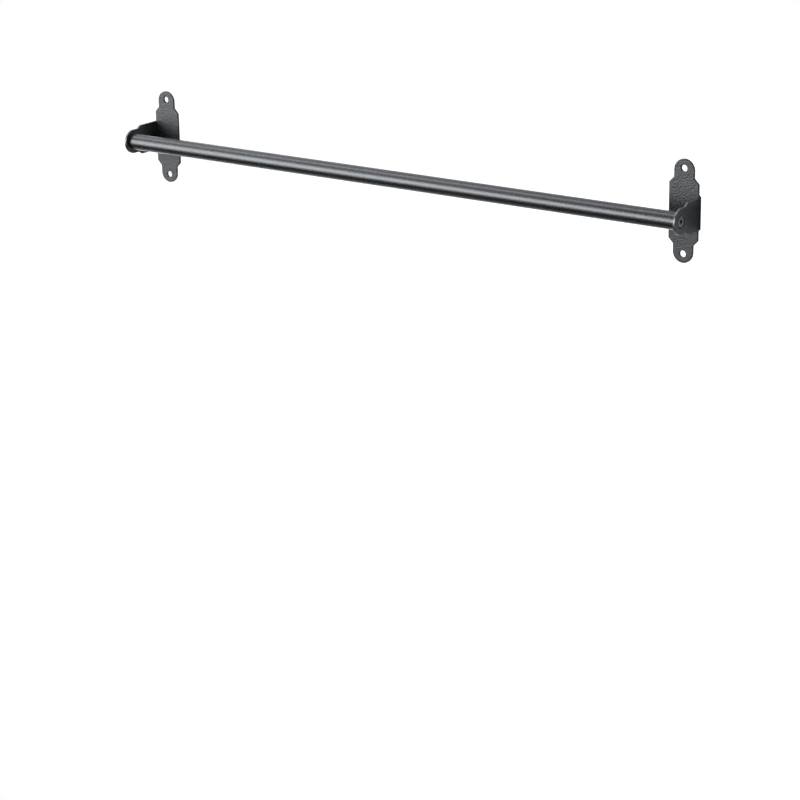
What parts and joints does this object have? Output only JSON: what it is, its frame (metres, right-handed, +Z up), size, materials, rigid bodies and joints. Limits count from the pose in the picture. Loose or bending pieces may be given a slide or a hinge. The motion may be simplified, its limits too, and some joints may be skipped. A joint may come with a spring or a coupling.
{
  "type": "kitchen utensil rail",
  "caption": "Straight wall rail for hanging kitchen utensils: a round dark steel tube held off the wall by folded sheet brackets with rounded, pierced ears.",
  "frame": {"origin": "on the wall plane, in the middle of the pattern of wall holes, half way along the rail", "axes": "+X along the rail to the right as seen from the room, +Y into the wall, +Z up"},
  "size_m": [0.57, 0.0427, 0.084],
  "materials": {
    "bracket_coat": "fine-grained matt black powder coat on steel sheet",
    "tube_coat": "satin black powder coat on steel tube",
    "screw_steel": "black oxide",
    "plug_steel": "bright zinc plate"
  },
  "bodies": {
    "root": {"rail_tube": "tube_coat", "left_bracket": "bracket_coat", "right_bracket": "bracket_coat", "left_end_plug": "plug_steel", "right_end_plug": "plug_steel", "left_screw": "screw_steel", "right_screw": "screw_steel"}
  },
  "joints": []
}
